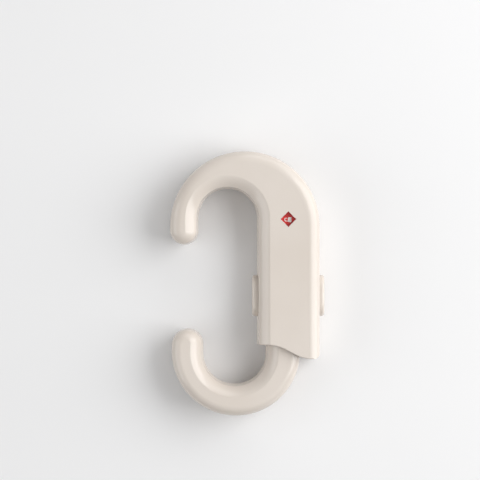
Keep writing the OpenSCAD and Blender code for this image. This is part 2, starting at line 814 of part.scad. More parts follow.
// Middle of the field of the flag that shows in the window once the flag has turned by angle a
function field_place(a) =
    let (x = window_x - pivot_x, y = window_y - pivot_y)
        [pivot_x + x * cos(a) + y * sin(a), pivot_y - x * sin(a) + y * cos(a)];

module flag_field(a) {
    translate(field_place(a)) rotate([0, 0, -a]) children();
}

// Straight bar with round ends between two points of the flag
module flag_arm(p, q) {
    run = q - p;
    translate(p) rotate([0, 0, atan2(run[1], run[0])]) {
        translate([0, -arm_w / 2]) square([norm(run), arm_w]);
        circle(arm_w / 2);
        translate([norm(run), 0]) circle(arm_w / 2);
    }
}

module flag_lever() {
    color(inner_plastic) place() translate([0, 0, lever_z]) linear_extrude(lever_t) difference() {
        union() {
            for (a = [0, flag_swing]) {
                flag_field(a) diamond(panel_d);
                flag_arm([pivot_x, pivot_y], field_place(a));
            }
            flag_arm([pivot_x, pivot_y], [drive_x, drive_y]);
            translate([pivot_x, pivot_y]) circle(hub_r);
            translate([drive_x, drive_y]) circle(drive_r + arm_w / 2);
        }
        translate([pivot_x, pivot_y]) circle(pivot_r + run_gap);
        // fork round the drive post, open at its end
        translate([drive_x, drive_y]) rotate([0, 0, -flag_swing / 2])
            translate([-fork_w / 2, -arm_w - drive_r]) square([fork_w, arm_w + 2 * drive_r + fork_end]);
    }
}

module red_panel() {
    color([0.75, 0.10, 0.10]) place() translate([0, 0, panel_z])
        linear_extrude(panel_t) flag_field(0) diamond(panel_d);
}

module green_panel() {
    color([0.15, 0.60, 0.20]) place() translate([0, 0, panel_z])
        linear_extrude(panel_t) flag_field(flag_swing) diamond(panel_d);
}

front_cover();
rear_cover();
cover_screws();
indicator_lens();
flag_pivot();
slider_front();
slider_rear();
slider_screws();
rack_bar();
rack_pins();
rack_stop_pin();
outer_button_cap();
outer_latch();
outer_spring();
inner_button_cap();
inner_latch();
inner_spring();
flag_lever();
red_panel();
green_panel();
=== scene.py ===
import math

import bmesh
import bpy
from mathutils import Matrix, Vector


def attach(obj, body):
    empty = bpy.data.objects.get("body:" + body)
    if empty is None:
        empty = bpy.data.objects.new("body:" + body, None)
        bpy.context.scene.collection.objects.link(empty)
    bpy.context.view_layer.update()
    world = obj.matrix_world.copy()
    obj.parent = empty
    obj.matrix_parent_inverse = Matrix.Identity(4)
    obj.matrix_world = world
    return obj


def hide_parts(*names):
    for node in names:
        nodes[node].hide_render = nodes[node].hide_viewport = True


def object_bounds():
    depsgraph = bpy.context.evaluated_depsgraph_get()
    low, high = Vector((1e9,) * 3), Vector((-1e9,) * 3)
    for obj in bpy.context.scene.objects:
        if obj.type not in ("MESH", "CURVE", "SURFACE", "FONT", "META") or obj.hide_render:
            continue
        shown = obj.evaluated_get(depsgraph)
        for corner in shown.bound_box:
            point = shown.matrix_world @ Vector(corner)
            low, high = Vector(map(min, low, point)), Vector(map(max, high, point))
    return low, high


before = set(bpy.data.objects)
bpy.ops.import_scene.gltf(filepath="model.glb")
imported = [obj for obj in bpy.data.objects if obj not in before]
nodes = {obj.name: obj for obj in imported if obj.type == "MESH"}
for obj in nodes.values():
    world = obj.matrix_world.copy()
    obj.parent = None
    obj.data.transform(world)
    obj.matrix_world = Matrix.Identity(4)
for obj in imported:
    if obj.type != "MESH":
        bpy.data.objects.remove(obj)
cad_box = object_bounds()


# Rear cover
# Back half of the fixed hook and its housing, a hollow moulding of glossy warm off-white plastic. Its rim
# meets the front cover's, and five recesses at the back take the screws. Sizes are in millimetres.
arch_r, arch_y = 30.75, 23.65
leg_in_x, tip_x, tip_y, tip_r = -19.25, -25.0, 21.7, 5.75
eye_x, eye_y, eye_r = -7.15, 26.95, 12.1
barrel_in_x = 4.95
housing_t, housing_part_z = 20, 10
wall, eye_wall, root = 2.2, 3, 0.5
room_low_y = -19.4
mouth_outer_y, mouth_inner_y = -30.9, -25.2
mouth_in_x, mouth_out_x = 13.15, 24.15
mouth_bend_r, mouth_corner_r = 15, 2.4
pocket = ((8.2, 23.1), (-40, -21.6), (-1, 17.7))
bar_slot = ((12.6, 20.2), (-23, -18), (5.3, 12.9))
mouth_screw = (26.93, -25.7)
cover_screw_places = ((0, 46.73), (-25, 26.95), (23.3, 33.95), mouth_screw, (10, -17.1))
recess_r, recess_depth, screw_hole_r, boss_r = 2.1, 2.6, 1.1, 2.6
button_y, button_z, button_len = -5, 10, 17
outer_cap_h, inner_cap_h, cap_gap = 11, 9, 0.15
arch_steps, eye_steps, tip_steps = 120, 80, 40
room_arch_steps, room_eye_steps = 60, 40


# An outline is drawn by straight moves and by turns about a centre. Each point carries its share of flare,
# from 0 for a plain rounded edge to 1 for the wide slope round an eye.
def to(x, y, flare=0):
    return ("to", x, y, flare)


def turn(x, y, degrees, steps, first_flare=0, last_flare=0):
    return ("turn", x, y, degrees, steps, first_flare, last_flare)


def draw_path(start, moves):
    path = bmesh.new()
    tip = path.verts.new((*start, 0))
    flares = [moves[0][-1]]
    for kind, *figures in moves:
        if kind == "to":
            x, y, flare = figures
            tip = bmesh.ops.extrude_vert_indiv(path, verts=[tip])["verts"][0]
            tip.co = (x, y, 0)
            flares.append(flare)
        else:
            x, y, degrees, steps, first, last = figures
            arc = bmesh.ops.spin(path, geom=[tip], cent=(x, y, 0), axis=(0, 0, 1),
                                 angle=math.radians(degrees), steps=steps)
            tip = arc["geom_last"][0]
            flares += [first + (last - first) * (i + 1) / steps for i in range(steps)]
    return path, flares


def path_in_order(path):
    path.verts.ensure_lookup_table()
    order = [path.verts[0]]
    edge = None
    while True:
        onward = [e for e in order[-1].link_edges if e is not edge]
        if not onward:
            return order
        edge = onward[0]
        order.append(edge.other_vert(order[-1]))


# The outline is drawn up from the parting line, past a fine lip, and over to the face. A plain edge is a
# quarter round and a flare a shallower slope, whose tilts from the face are given in degrees.
def moulded_half(start, moves, part_z, face_z, edge_run, flare_rise, flare_tilts):
    edge_rise, edge_tilts = 3.6, (90, 0)
    flare_run = 4.7
    lip, eye_draft = 0.15, 0.8
    lip_steps, bends = 2, 14
    shape, flares = draw_path(start, moves)
    low = path_in_order(shape)
    height = abs(face_z - part_z)
    side = 1 if face_z > part_z else -1
    place = {}
    for i, vert in enumerate(low):
        before = low[max(i - 1, 0)].co
        after = low[min(i + 1, len(low) - 1)].co
        along = (after - before).normalized()
        place[vert] = (vert.co.copy(), Vector((-along.y, along.x, 0)), flares[i])

    def put(vert, step):
        base, inward, flare = place[vert]
        run = edge_run + (flare_run - edge_run) * flare
        climb = edge_rise + (flare_rise - edge_rise) * flare
        first, last = (math.radians(e + (f - e) * flare) for e, f in zip(edge_tilts, flare_tilts))
        if step < lip_steps:
            inset, rise = (lip, 0) if step == 0 else (0, lip)
        else:
            tilt = first + (last - first) * (step - lip_steps) / bends
            across = (math.sin(first) - math.sin(tilt)) / (math.sin(first) - math.sin(last))
            up = (math.cos(tilt) - math.cos(first)) / (math.cos(last) - math.cos(first))
            inset = eye_draft * flare + run * across
            rise = height - climb + climb * up
        vert.co = base + inward * inset
        vert.co.z = part_z + side * rise

    for vert in low:
        put(vert, 0)
    loop = low
    for step in range(1, lip_steps + bends + 1):
        ring = set(loop)
        edges = [e for e in shape.edges if e.verts[0] in ring and e.verts[1] in ring]
        grown = bmesh.ops.extrude_edge_only(shape, edges=edges)["geom"]
        fresh = {}
        for vert in (g for g in grown if isinstance(g, bmesh.types.BMVert)):
            source = next(e.other_vert(vert) for e in vert.link_edges if e.other_vert(vert) in place)
            fresh[source] = vert
        for source in loop:
            place[fresh[source]] = place[source]
        loop = [fresh[source] for source in loop]
        for vert in loop:
            put(vert, step)
    for chain in (low, loop):
        shape.edges.new((chain[0], chain[-1]))
    ends = [e for e in shape.edges if e.is_boundary or e.is_wire]
    for ring in (set(low), set(loop)):
        bmesh.ops.edgeloop_fill(shape, edges=[e for e in ends if all(v in ring for v in e.verts)])
    bmesh.ops.edgeloop_fill(shape, edges=[e for e in shape.edges if e.is_boundary])
    bmesh.ops.recalc_face_normals(shape, faces=shape.faces)
    return shape


def prism(start, moves, low_z, high_z):
    shape = draw_path(start, moves)[0]
    rim = path_in_order(shape)
    shape.edges.new((rim[0], rim[-1]))
    bmesh.ops.translate(shape, verts=shape.verts, vec=(0, 0, low_z))
    base = bmesh.ops.edgeloop_fill(shape, edges=shape.edges)["faces"]
    top = bmesh.ops.extrude_face_region(shape, geom=base)["geom"]
    bmesh.ops.translate(shape, verts=[g for g in top if isinstance(g, bmesh.types.BMVert)],
                        vec=(0, 0, high_z - low_z))
    bmesh.ops.recalc_face_normals(shape, faces=shape.faces)
    return shape


# A span is a pair of low and high for each of x, y and z.
def block(span):
    box = bmesh.new()
    bmesh.ops.create_cube(box, size=1)
    size = [high - low for low, high in span]
    middle = [(high + low) / 2 for low, high in span]
    bmesh.ops.scale(box, verts=box.verts, vec=size)
    bmesh.ops.translate(box, verts=box.verts, vec=middle)
    return box


def round_bar(x, y, low_z, high_z, r):
    bar = bmesh.new()
    bmesh.ops.create_cone(bar, cap_ends=True, segments=48, radius1=r, radius2=r, depth=high_z - low_z)
    bmesh.ops.translate(bar, verts=bar.verts, vec=(x, y, (low_z + high_z) / 2))
    return bar


# A bar with round ends, its length along y and its height along z, drawn out along x.
def button_bar(low_x, high_x, length, h):
    half = (length - h) / 2
    end_steps = 32
    bar = prism((half, -h / 2), [
        turn(half, 0, 180, end_steps), to(-half, h / 2), turn(-half, 0, 180, end_steps)], low_x, high_x)
    upright = Matrix(((0, 0, 1, 0), (1, 0, 0, button_y), (0, 1, 0, button_z), (0, 0, 0, 1)))
    bmesh.ops.transform(bar, verts=bar.verts, matrix=upright)
    return bar


def solid(name, shape):
    mesh = bpy.data.meshes.new(name)
    shape.to_mesh(mesh)
    shape.free()
    body = bpy.data.objects.new(name, mesh)
    bpy.context.scene.collection.objects.link(body)
    return body


def combine(body, shapes, operation):
    for shape in shapes:
        tool = solid("tool", shape)
        step = body.modifiers.new(operation.lower(), "BOOLEAN")
        step.operation = operation
        step.solver = "EXACT"
        step.object = tool
        bpy.context.view_layer.update()
        made = bpy.data.meshes.new_from_object(body.evaluated_get(bpy.context.evaluated_depsgraph_get()))
        body.modifiers.clear()
        body.data = made
        bpy.data.objects.remove(tool)


def cut_away(body, shapes):
    combine(body, shapes, "DIFFERENCE")


def join_on(body, shapes):
    combine(body, shapes, "UNION")


# Bosses stand between a face's wall and the parting line, and the screws go into them from the back.
def screw_bosses(places, part_z, face_z):
    root_z = face_z - wall + root if face_z else wall - root
    return [round_bar(x, y, min(part_z, root_z), max(part_z, root_z), boss_r) for x, y in places]


def screw_recesses(places):
    return [round_bar(x, y, -wall, recess_depth, recess_r) for x, y in places]


def screw_holes(places, high_z):
    return [round_bar(x, y, -wall, high_z, screw_hole_r) for x, y in places]


# All that lies beyond the S-curved end of the housing.
def mouth_prism():
    bend_steps, corner_steps = 16, 12
    angle = math.atan2(mouth_inner_y - mouth_outer_y, mouth_out_x - mouth_in_x)
    run = mouth_bend_r * math.tan(angle / 2)
    slant = math.degrees(angle)
    corner_x, corner_y = arch_r - mouth_corner_r, mouth_outer_y + mouth_corner_r
    return prism((eye_x, mouth_inner_y), [
        to(mouth_in_x - run, mouth_inner_y),
        turn(mouth_in_x - run, mouth_inner_y - mouth_bend_r, -slant, bend_steps),
        to(mouth_out_x - run * math.cos(angle), mouth_outer_y + run * math.sin(angle)),
        turn(mouth_out_x + run, mouth_outer_y + mouth_bend_r, slant, bend_steps),
        to(corner_x, mouth_outer_y),
        turn(corner_x, corner_y, 90, corner_steps),
        to(arch_r + wall, corner_y),
        to(arch_r + wall, mouth_outer_y - arch_r),
        to(eye_x, mouth_outer_y - arch_r)], -wall, housing_t + wall)


# The mouth's edge is eased where it meets the outer skin, but not where it runs beside the screw's recess.
def ease_mouth(body, side):
    mouth_ease, corner_gap = 0.45, 0.01
    least_slope, least_facing = 0.2, 0.02
    room_below, room_above = 0.5, 0.2
    screw_x, screw_y = mouth_screw
    shape = bmesh.new()
    shape.from_mesh(body.data)
    shape.normal_update()
    cut = {f for f in shape.faces
           if f.normal.y < -least_slope and abs(f.normal.z) < least_slope
           and mouth_outer_y - room_below < f.calc_center_median().y < mouth_inner_y + room_above}
    skin = {f for f in shape.faces if f not in cut and f.normal.z * side > least_facing}
    rim = [e for e in shape.edges
           if len(e.link_faces) == 2 and any(f in cut for f in e.link_faces)
           and any(f in skin for f in e.link_faces)
           and max(v.co.x for v in e.verts) < arch_r - mouth_corner_r + corner_gap
           and all(math.hypot(v.co.x - screw_x, v.co.y - screw_y) > boss_r for v in e.verts)]
    bmesh.ops.bevel(shape, geom=rim, offset=mouth_ease, offset_type="OFFSET", affect="EDGES", segments=3,
                    profile=0.5, material=-1, clamp_overlap=False)
    shape.to_mesh(body.data)
    shape.free()


def housing_half(name, face_z, inner_forms, last_cuts):
    edge_run, flare_rise, flare_tilts = 4.8, 3.1, (48, 16)
    end_y = mouth_outer_y - wall
    body = solid(name, moulded_half((arch_r, end_y), [
        to(arch_r, arch_y), turn(0, arch_y, 180, arch_steps),
        to(tip_x - tip_r, tip_y), turn(tip_x, tip_y, 180, tip_steps, 0, 1),
        to(leg_in_x, eye_y, 1), turn(eye_x, eye_y, -180, eye_steps, 1, 1),
        to(barrel_in_x, end_y, 1)], housing_part_z, face_z, edge_run, flare_rise, flare_tilts))
    room_r, hole_r = arch_r - wall, eye_r + eye_wall
    room = prism((room_r, room_low_y), [
        to(room_r, arch_y), turn(0, arch_y, 180, room_arch_steps), to(-room_r, tip_y),
        to(eye_x - hole_r, tip_y), to(eye_x - hole_r, eye_y),
        turn(eye_x, eye_y, -180, room_eye_steps), to(eye_x + hole_r, room_low_y)], wall, housing_t - wall)
    hole_len, outer_hole_h, inner_hole_h = (
        size + 2 * cap_gap for size in (button_len, outer_cap_h, inner_cap_h))
    cut_away(body, [
        mouth_prism(), room, block(pocket), block(bar_slot),
        button_bar(arch_r - 2 * wall, arch_r + wall, hole_len, outer_hole_h),
        button_bar(barrel_in_x - wall, barrel_in_x + 2 * eye_wall, hole_len, inner_hole_h)])
    join_on(body, inner_forms)
    cut_away(body, last_cuts)
    ease_mouth(body, 1 if face_z else -1)
    return body


# A piece is drawn from the middle of the arch. Finished, it is merged, moved so that the origin lies under
# the middle of the lock's box, and shaded.
box_middle_x = 1
same_place = 0.001
metres_per_millimetre = 0.001
to_frame = Matrix.Scale(metres_per_millimetre, 4) @ Matrix.Translation((-box_middle_x, 0, 0))


def settle(body, material, body_name, slot, *stands_for):
    sharp_angle = math.radians(34)
    shape = bmesh.new()
    shape.from_mesh(body.data)
    bmesh.ops.remove_doubles(shape, verts=shape.verts, dist=same_place)
    shape.to_mesh(body.data)
    shape.free()
    body.data.transform(to_frame)
    body.data.shade_smooth()
    body.data.set_sharp_from_angle(angle=sharp_angle)
    even = body.modifiers.new("even_shading", "WEIGHTED_NORMAL")
    even.keep_sharp = True
    body.data.materials.clear()
    body.data.materials.append(material)
    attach(body, body_name)
    if stands_for:
        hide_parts(*stands_for)


def srgb(r, g, b):
    def linear(c):
        c = c / 255
        return c / 12.92 if c <= 0.04045 else ((c + 0.055) / 1.055) ** 2.4
    return (linear(r), linear(g), linear(b), 1)


# Moulded plastic with a faint drift of tone, uneven gloss and a fine grain from the mould.
def moulded_plastic(name, dark, light, gloss, grain_scale, grain_depth):
    material = bpy.data.materials.new(name)
    material.use_nodes = True
    tree = material.node_tree
    shader = tree.nodes["Principled BSDF"]
    shader.inputs["IOR"].default_value = 1.54
    place = tree.nodes.new("ShaderNodeTexCoord")
    flow = tree.nodes.new("ShaderNodeTexNoise")
    flow.inputs["Scale"].default_value = 28
    flow.inputs["Detail"].default_value = 3
    tone = tree.nodes.new("ShaderNodeValToRGB")
    tone.color_ramp.elements[0].position = 0.3
    tone.color_ramp.elements[0].color = dark
    tone.color_ramp.elements[1].position = 0.7
    tone.color_ramp.elements[1].color = light
    rough = tree.nodes.new("ShaderNodeMapRange")
    rough.inputs["To Min"].default_value = gloss[0]
    rough.inputs["To Max"].default_value = gloss[1]
    grain = tree.nodes.new("ShaderNodeTexNoise")
    grain.inputs["Scale"].default_value = grain_scale
    grain.inputs["Detail"].default_value = 2
    bump = tree.nodes.new("ShaderNodeBump")
    bump.inputs["Strength"].default_value = 0.12
    bump.inputs["Distance"].default_value = grain_depth * metres_per_millimetre
    link = tree.links.new
    link(place.outputs["Object"], flow.inputs["Vector"])
    link(place.outputs["Object"], grain.inputs["Vector"])
    link(flow.outputs["Fac"], tone.inputs["Fac"])
    link(tone.outputs["Color"], shader.inputs["Base Color"])
    link(flow.outputs["Fac"], rough.inputs["Value"])
    link(rough.outputs["Result"], shader.inputs["Roughness"])
    link(grain.outputs["Fac"], bump.inputs["Height"])
    link(bump.outputs["Normal"], shader.inputs["Normal"])
    return material


cream = moulded_plastic("cream_gloss", srgb(217, 207, 197), srgb(223, 214, 205),
                        gloss=(0.15, 0.21), grain_scale=900, grain_depth=0.02)
bar_x, bar_half = 16.4, 3.5
post_places = ((13.65, -0.5), (19.15, -9.5))
post_half_w, post_half_len, post_top_z = 1, 1.3, 4.7
rib_places_y = (-14, -5, 4)
rib_half_len, rib_half_t, rib_top_z = 7, 0.45, 5
saddle_places_y = (6.5, 24.25)
saddle_len, saddle_top_z = 2, 5.3
foot_z = wall - root
spring_posts = [
    block(((x - post_half_w, x + post_half_w), (y - post_half_len, y + post_half_len),
           (foot_z, post_top_z)))
    for x, y in post_places]
latch_ribs = [
    block(((bar_x - rib_half_len, bar_x + rib_half_len), (y - rib_half_t, y + rib_half_t),
           (foot_z, rib_top_z)))
    for y in rib_places_y]
bar_saddles = [
    block(((bar_x - bar_half, bar_x + bar_half), (y, y + saddle_len), (foot_z, saddle_top_z)))
    for y in saddle_places_y]
rear_cover = housing_half(
    "rear_cover_shell", 0,
    screw_bosses(cover_screw_places, housing_part_z, 0) + spring_posts + latch_ribs + bar_saddles,
    screw_recesses(cover_screw_places) + screw_holes(cover_screw_places, housing_part_z + wall))
settle(rear_cover, cream, "housing", "shell", "rear_cover")


# Sliding hook
# Two moulded halves of the same plastic, screwed together round the root of the toothed bar.
# The hook is thinner than the housing, so that its shoulder passes under the hood of the mouth.
slider_t, slider_part_z = 17.3, 8.65
slider_x, slider_y, slider_r = -3.7, -28, 26.4
slider_eye_x, slider_eye_y, slider_eye_r = -4.3, -28.6, 12.9
slider_tip_x, slider_tip_y, slider_tip_r = -23.65, -25.05, 6.45
shoulder_y = -22
bar_low_z, bar_high_z = 5.6, 12.6
slider_screw_places = ((-23.65, -28), (6.125, -45.02), (-13.525, -45.02))


def slider_half(name, face_z, bosses, holes):
    edge_run, flare_rise, flare_tilts = 4.0, 4.2, (60, 14)
    body = solid(name, moulded_half((slider_eye_x + slider_eye_r, shoulder_y), [
        to(slider_eye_x + slider_eye_r, slider_eye_y, 1),
        turn(slider_eye_x, slider_eye_y, -180, eye_steps, 1, 1),
        to(slider_tip_x + slider_tip_r, slider_tip_y, 1),
        turn(slider_tip_x, slider_tip_y, 180, tip_steps, 1, 0),
        to(slider_x - slider_r, slider_y),
        turn(slider_x, slider_y, 180, arch_steps),
        to(slider_x + slider_r, shoulder_y)], slider_part_z, face_z, edge_run, flare_rise, flare_tilts))
    room_r, hole_r, room_high_y = slider_r - wall, slider_eye_r + wall, shoulder_y - wall
    room = prism((slider_eye_x + hole_r, room_high_y), [
        to(slider_eye_x + hole_r, slider_eye_y), turn(slider_eye_x, slider_eye_y, -180, room_eye_steps),
        to(slider_eye_x - hole_r, slider_tip_y), to(slider_x - room_r, slider_tip_y),
        to(slider_x - room_r, slider_y), turn(slider_x, slider_y, 180, room_arch_steps),
        to(slider_x + room_r, room_high_y)], wall, slider_t - wall)
    bar_hole = block(((bar_x - bar_half, bar_x + bar_half),
                      (shoulder_y - 2 * wall, shoulder_y + wall), (bar_low_z, bar_high_z)))
    cut_away(body, [room, bar_hole])
    join_on(body, bosses)
    cut_away(body, holes)
    return body


slider_front = slider_half(
    "slider_front_shell", slider_t, screw_bosses(slider_screw_places, slider_part_z, slider_t),
    screw_holes(slider_screw_places, slider_t - wall))
settle(slider_front, cream, "slider", "shell", "slider_front")
slider_rear = slider_half(
    "slider_rear_shell", 0, screw_bosses(slider_screw_places, slider_part_z, 0),
    screw_recesses(slider_screw_places) + screw_holes(slider_screw_places, slider_part_z + wall))
settle(slider_rear, cream, "slider", "shell", "slider_rear")


# Toothed bar, latches and flag lever
# Plain nylon mouldings, matt and slightly grey, inside the closed lock. The bar and the lever have eased
# corners, and the bar shows between the hood and the sliding hook when the hook is drawn out.
nylon = moulded_plastic("natural_nylon", srgb(205, 204, 198), srgb(214, 213, 208),
                        gloss=(0.45, 0.6), grain_scale=1400, grain_depth=0.04)


def give_finish(piece, material):
    nodes[piece].data.materials.clear()
    nodes[piece].data.materials.append(material)


def eased_copy(name, node):
    nylon_ease = 0.15
    flat_angle, corner_angle = math.radians(1), math.radians(25)
    copy = bmesh.new()
    copy.from_mesh(nodes[node].data)
    bmesh.ops.transform(copy, verts=copy.verts, matrix=to_frame.inverted())
    bmesh.ops.remove_doubles(copy, verts=copy.verts, dist=same_place)
    bmesh.ops.dissolve_limit(copy, angle_limit=flat_angle, verts=copy.verts, edges=copy.edges)
    corners = [e for e in copy.edges if e.is_convex and e.calc_face_angle(0) > corner_angle]
    bmesh.ops.bevel(copy, geom=corners, offset=nylon_ease, offset_type="OFFSET", affect="EDGES",
                    segments=2, profile=0.5, material=-1, clamp_overlap=False)
    bmesh.ops.triangulate(copy, faces=[f for f in copy.faces if len(f.verts) > 4])
    return solid(name, copy)


for latch in ("outer_latch", "inner_latch"):
    give_finish(latch, nylon)
settle(eased_copy("toothed_bar", "rack_bar"), nylon, "slider", "inner", "rack_bar")
settle(eased_copy("flag_arm", "flag_lever"), nylon, "flag", "inner", "flag_lever")


# Pins and springs
# Zinc-plated steel, turned or drawn, its plating finely mottled, all inside the closed lock.
# The pins are pressed in, and a spring stands behind each latch.
def plated_steel():
    material = bpy.data.materials.new("zinc_plated_steel")
    material.use_nodes = True
    tree = material.node_tree
    shader = tree.nodes["Principled BSDF"]
    shader.inputs["Metallic"].default_value = 1
    place = tree.nodes.new("ShaderNodeTexCoord")
    mottle = tree.nodes.new("ShaderNodeTexNoise")
    mottle.inputs["Scale"].default_value = 700
    mottle.inputs["Detail"].default_value = 4
    tone = tree.nodes.new("ShaderNodeValToRGB")
    tone.color_ramp.elements[0].color = srgb(168, 170, 174)
    tone.color_ramp.elements[1].color = srgb(206, 207, 210)
    rough = tree.nodes.new("ShaderNodeMapRange")
    rough.inputs["To Min"].default_value = 0.25
    rough.inputs["To Max"].default_value = 0.42
    link = tree.links.new
    link(place.outputs["Object"], mottle.inputs["Vector"])
    link(mottle.outputs["Fac"], tone.inputs["Fac"])
    link(tone.outputs["Color"], shader.inputs["Base Color"])
    link(mottle.outputs["Fac"], rough.inputs["Value"])
    link(rough.outputs["Result"], shader.inputs["Roughness"])
    return material


steel = plated_steel()
for fitting in ("flag_pivot", "rack_pins", "rack_stop_pin", "outer_spring", "inner_spring"):
    give_finish(fitting, steel)


# Button caps
# Hollow caps of the off-white plastic with rounded faces, one through each side of the housing.
# They are clipped to the latches' stems and stand 2 mm proud when pressed.
cap_proud, cap_wall, cap_round = 2, 1.4, 1.1
outer_face_x, inner_face_x = arch_r + cap_proud, barrel_in_x - cap_proud
outer_skirt, inner_skirt = 6.1, 5


def button_cap(name, face_x, open_x, h):
    low_x, high_x = sorted((face_x, open_x))
    cap = button_bar(low_x, high_x, button_len, h)
    rim = [e for e in cap.edges if all(abs(v.co.x - face_x) < same_place for v in e.verts)]
    bmesh.ops.bevel(cap, geom=rim, offset=cap_round, offset_type="OFFSET", affect="EDGES", segments=8,
                    profile=0.5, material=-1, clamp_overlap=True)
    body = solid(name, cap)
    inward = 1 if open_x > face_x else -1
    low_x, high_x = sorted((face_x + inward * cap_wall, open_x + inward * cap_wall))
    cut_away(body, [button_bar(low_x, high_x, button_len - 2 * cap_wall, h - 2 * cap_wall)])
    return body


outer_cap = button_cap("outer_cap", outer_face_x, outer_face_x - outer_skirt, outer_cap_h)
settle(outer_cap, cream, "outer_button", "shell", "outer_button_cap")
inner_cap = button_cap("inner_cap", inner_face_x, inner_face_x + inner_skirt, inner_cap_h)
settle(inner_cap, cream, "inner_button", "shell", "inner_button_cap")


# Indicator fields
# Two small panels on the flag's lever, printed red for unlocked and green for locked.
# Each bears a small white padlock sign, open on red and shut on green, that lies on its side.
window_x, window_y = 17.8, 26.5
field_top_z = 17.4
pivot = Vector((23.85, 8.511, 0))
flag_swing = math.radians(21.1)
sign_x, sign_y = window_x - 0.15, window_y - 0.2
bow_lift = 0.4


def printed(name, dark, light, gloss):
    return moulded_plastic(name, dark, light, gloss, grain_scale=1600, grain_depth=0.02)


give_finish("red_panel", printed("red_print", srgb(218, 26, 24), srgb(228, 34, 30), (0.35, 0.45)))
give_finish("green_panel", printed("green_print", srgb(34, 164, 66), srgb(46, 178, 78), (0.35, 0.45)))
white_ink = printed("white_ink", srgb(248, 247, 244), srgb(254, 253, 250), (0.4, 0.5))


# The sign is drawn with its bow towards low x, and a lifted bow leaves one leg free of the lock's body.
def padlock_sign(name, lift, swing):
    ink_t, way_gap = 0.08, 0.02
    body_w, side_y, corner_r = 1.4, 0.75, 0.25
    bow_r, bow_hole_r, bow_leg = 0.72, 0.44, 0.35
    bow_steps, corner_steps = 24, 6
    leg, far_x = bow_leg + lift, body_w - corner_r
    sign = solid(name, prism((0, bow_r), [
        to(-leg, bow_r), turn(-leg, 0, 180, bow_steps), to(0, -bow_r),
        to(0, -side_y), turn(corner_r, -side_y, 90, corner_steps),
        to(far_x, -side_y - corner_r), turn(far_x, -side_y, 90, corner_steps),
        to(body_w, side_y), turn(far_x, side_y, 90, corner_steps),
        to(corner_r, side_y + corner_r), turn(corner_r, side_y, 90, corner_steps)], 0, ink_t))
    hole_x = -way_gap if lift else 0
    way_in = [to(hole_x, side_y), to(-lift, side_y)] if lift else []
    cut_away(sign, [prism((hole_x, -bow_hole_r), way_in + [
        to(-lift, bow_hole_r), to(-leg, bow_hole_r), turn(-leg, 0, 180, bow_steps)], -ink_t, 2 * ink_t)])
    about = Matrix.Translation(pivot) @ Matrix.Rotation(-swing, 4, "Z") @ Matrix.Translation(-pivot)
    sign.data.transform(about @ Matrix.Translation((sign_x, sign_y, field_top_z)))
    return sign


settle(padlock_sign("open_sign", bow_lift, 0), white_ink, "flag", "inner")
settle(padlock_sign("shut_sign", 0, flag_swing), white_ink, "flag", "inner")


# Front cover
# Front half of the fixed hook and its housing, with the diamond window and the hood of the mouth.
# It is moulded like the rear cover and screwed to it from behind.
window_half = 3.25
stop_rib_half_w, stop_rib_y, stop_rib_low_z = 2, (2.5, 4.5), 12.9


def diamond(half, low_z, high_z):
    return prism((window_x + half, window_y), [
        to(window_x, window_y + half), to(window_x - half, window_y), to(window_x, window_y - half)],
        low_z, high_z)


stop_rib = block(((bar_x - stop_rib_half_w, bar_x + stop_rib_half_w), stop_rib_y,
                  (stop_rib_low_z, housing_t - wall + root)))
front_cover = housing_half(
    "front_cover_shell", housing_t,
    screw_bosses(cover_screw_places, housing_part_z, housing_t) + [stop_rib],
    screw_holes(cover_screw_places, housing_t - wall)
    + [diamond(window_half, housing_t - 2 * wall, housing_t + wall)])
settle(front_cover, cream, "housing", "shell", "front_cover")


# Indicator lens
# A clear polished diamond of acrylic that fills the window flush with the front face, its top edges eased.
# It bends what is seen through it, and the lamps' light goes straight through to the fields.
lens_gap, lens_ease = 0.05, 0.2


def clear_lens():
    material = bpy.data.materials.new("clear_lens")
    material.use_nodes = True
    tree = material.node_tree
    shader = tree.nodes["Principled BSDF"]
    shader.inputs["Base Color"].default_value = (0.98, 0.985, 0.99, 1)
    shader.inputs["IOR"].default_value = 1.49
    shader.inputs["Transmission Weight"].default_value = 1
    place = tree.nodes.new("ShaderNodeTexCoord")
    haze = tree.nodes.new("ShaderNodeTexNoise")
    haze.inputs["Scale"].default_value = 500
    rough = tree.nodes.new("ShaderNodeMapRange")
    rough.inputs["To Min"].default_value = 0.02
    rough.inputs["To Max"].default_value = 0.05
    rays = tree.nodes.new("ShaderNodeLightPath")
    lamp_rays = tree.nodes.new("ShaderNodeMath")
    lamp_rays.operation = "MAXIMUM"
    open_way = tree.nodes.new("ShaderNodeBsdfTransparent")
    either = tree.nodes.new("ShaderNodeMixShader")
    surface = tree.nodes["Material Output"].inputs["Surface"]
    link = tree.links.new
    link(place.outputs["Object"], haze.inputs["Vector"])
    link(haze.outputs["Fac"], rough.inputs["Value"])
    link(rough.outputs["Result"], shader.inputs["Roughness"])
    link(rays.outputs["Is Shadow Ray"], lamp_rays.inputs[0])
    link(rays.outputs["Is Diffuse Ray"], lamp_rays.inputs[1])
    link(lamp_rays.outputs["Value"], either.inputs["Fac"])
    link(shader.outputs["BSDF"], either.inputs[1])
    link(open_way.outputs["BSDF"], either.inputs[2])
    link(either.outputs["Shader"], surface)
    return material


lens_shape = diamond(window_half - lens_gap, housing_t - wall, housing_t - lens_gap)
lens_rim = [e for e in lens_shape.edges if all(v.co.z > housing_t - 2 * lens_gap for v in e.verts)]
bmesh.ops.bevel(lens_shape, geom=lens_rim, offset=lens_ease, offset_type="OFFSET", affect="EDGES",
                segments=3, profile=0.5, material=-1)
settle(solid("window_lens", lens_shape), clear_lens(), "housing", "lens", "indicator_lens")


